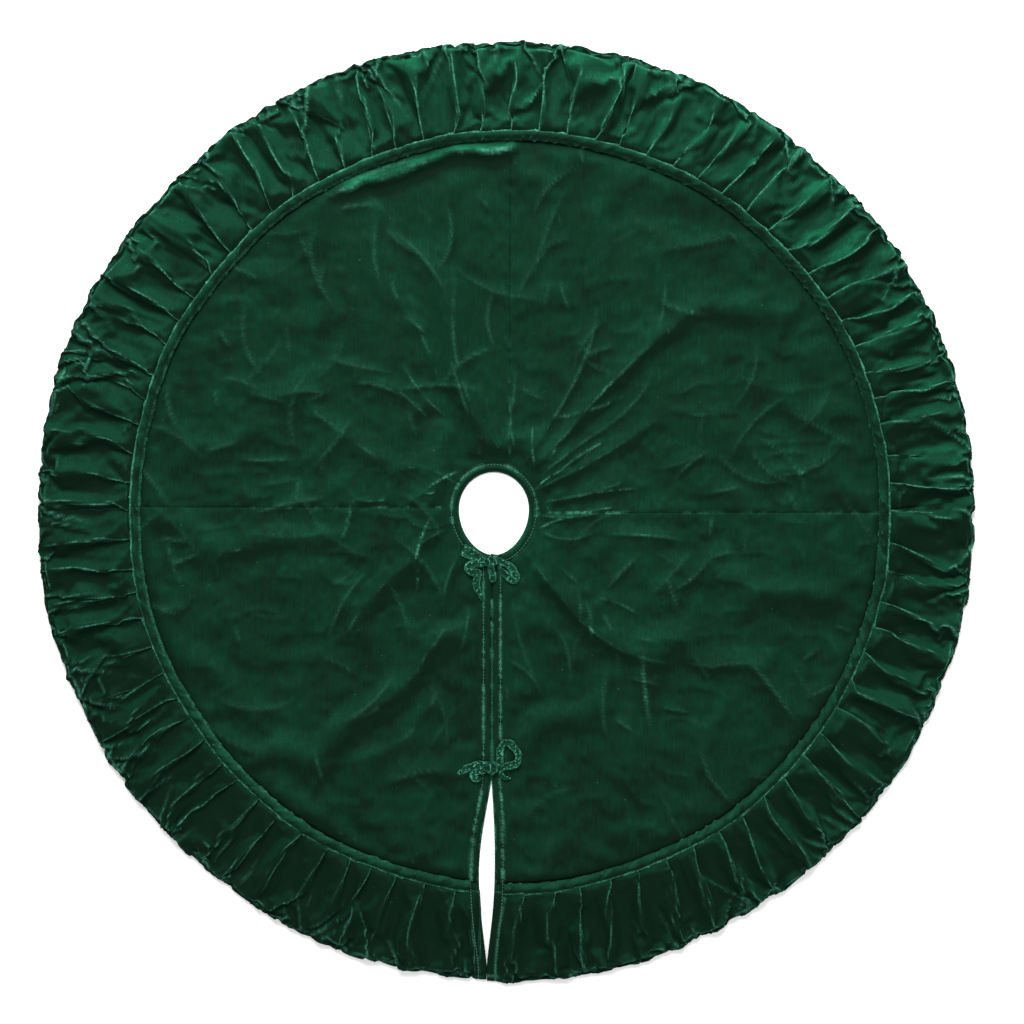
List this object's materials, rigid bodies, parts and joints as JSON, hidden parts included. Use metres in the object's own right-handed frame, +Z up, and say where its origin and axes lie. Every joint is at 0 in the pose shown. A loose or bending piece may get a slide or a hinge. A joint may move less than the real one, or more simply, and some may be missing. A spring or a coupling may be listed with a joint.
{
  "type": "tree skirt",
  "caption": "Round dark green velvet tree skirt with an off-centre trunk hole, a slit closed by tied bows, a corded piping and a wide gathered ruffle.",
  "frame": {"origin": "on the floor at the centre of the piped ring", "axes": "+Z up, +Y away from the slit, the slit runs from the trunk hole towards -Y, +X to the right when the slit points at the viewer"},
  "size_m": [1.22, 1.22, 0.0249],
  "materials": {
    "velvet": "dark green pile",
    "lining": "plain weave",
    "cord": "twisted cotton filler",
    "thread": "sewing thread"
  },
  "bodies": {
    "back_half": {"panel_back_left": "velvet", "panel_back_right": "velvet", "lining_back_left": "lining", "lining_back_right": "lining", "ruffle_back_left": "velvet", "ruffle_back_right": "velvet", "piping_cover_back": "velvet", "piping_cord_back": "cord", "hole_facing_back": "velvet", "topstitch_hole_back": "thread"},
    "front_half": {"panel_front_left": "velvet", "panel_front_right": "velvet", "lining_front_left": "lining", "lining_front_right": "lining", "ruffle_front_left": "velvet", "ruffle_front_right": "velvet", "piping_cover_front_left": "velvet", "piping_cover_front_right": "velvet", "piping_cord_front_left": "cord", "piping_cord_front_right": "cord", "hole_facing_front_left": "velvet", "hole_facing_front_right": "velvet", "placket_left": "velvet", "placket_right": "velvet", "topstitch_hole_front_left": "thread", "topstitch_hole_front_right": "thread", "topstitch_slit_left": "thread", "topstitch_slit_right": "thread", "knot_upper": "velvet", "knot_lower": "velvet"},
    "upper_left_tie": {"tie_upper_left": "velvet"},
    "upper_right_tie": {"tie_upper_right": "velvet"},
    "lower_left_tie": {"tie_lower_left": "velvet", "tie_tail_lower_left": "velvet"},
    "lower_right_tie": {"tie_lower_right": "velvet"}
  },
  "joints": [
    {"name": "half_fold", "type": "hinge", "parent": "back_half", "child": "front_half", "pos_m": [0, 0, 0.028], "axis": [-1, 0, 0], "range_deg": [0, 178]},
    {"name": "upper_left_tie_lift", "type": "hinge", "parent": "front_half", "child": "upper_left_tie", "pos_m": [-0.0328, -0.065, 0.0118], "axis": [0, 1, 0], "range_deg": [0, 70]},
    {"name": "upper_right_tie_lift", "type": "hinge", "parent": "front_half", "child": "upper_right_tie", "pos_m": [-0.0172, -0.065, 0.0118], "axis": [0, -1, 0], "range_deg": [0, 70]},
    {"name": "lower_left_tie_lift", "type": "hinge", "parent": "front_half", "child": "lower_left_tie", "pos_m": [-0.0318, -0.333, 0.0118], "axis": [0, 1, 0], "range_deg": [0, 60]},
    {"name": "lower_right_tie_lift", "type": "hinge", "parent": "front_half", "child": "lower_right_tie", "pos_m": [-0.0162, -0.333, 0.0118], "axis": [0, -1, 0], "range_deg": [0, 70]}
  ]
}
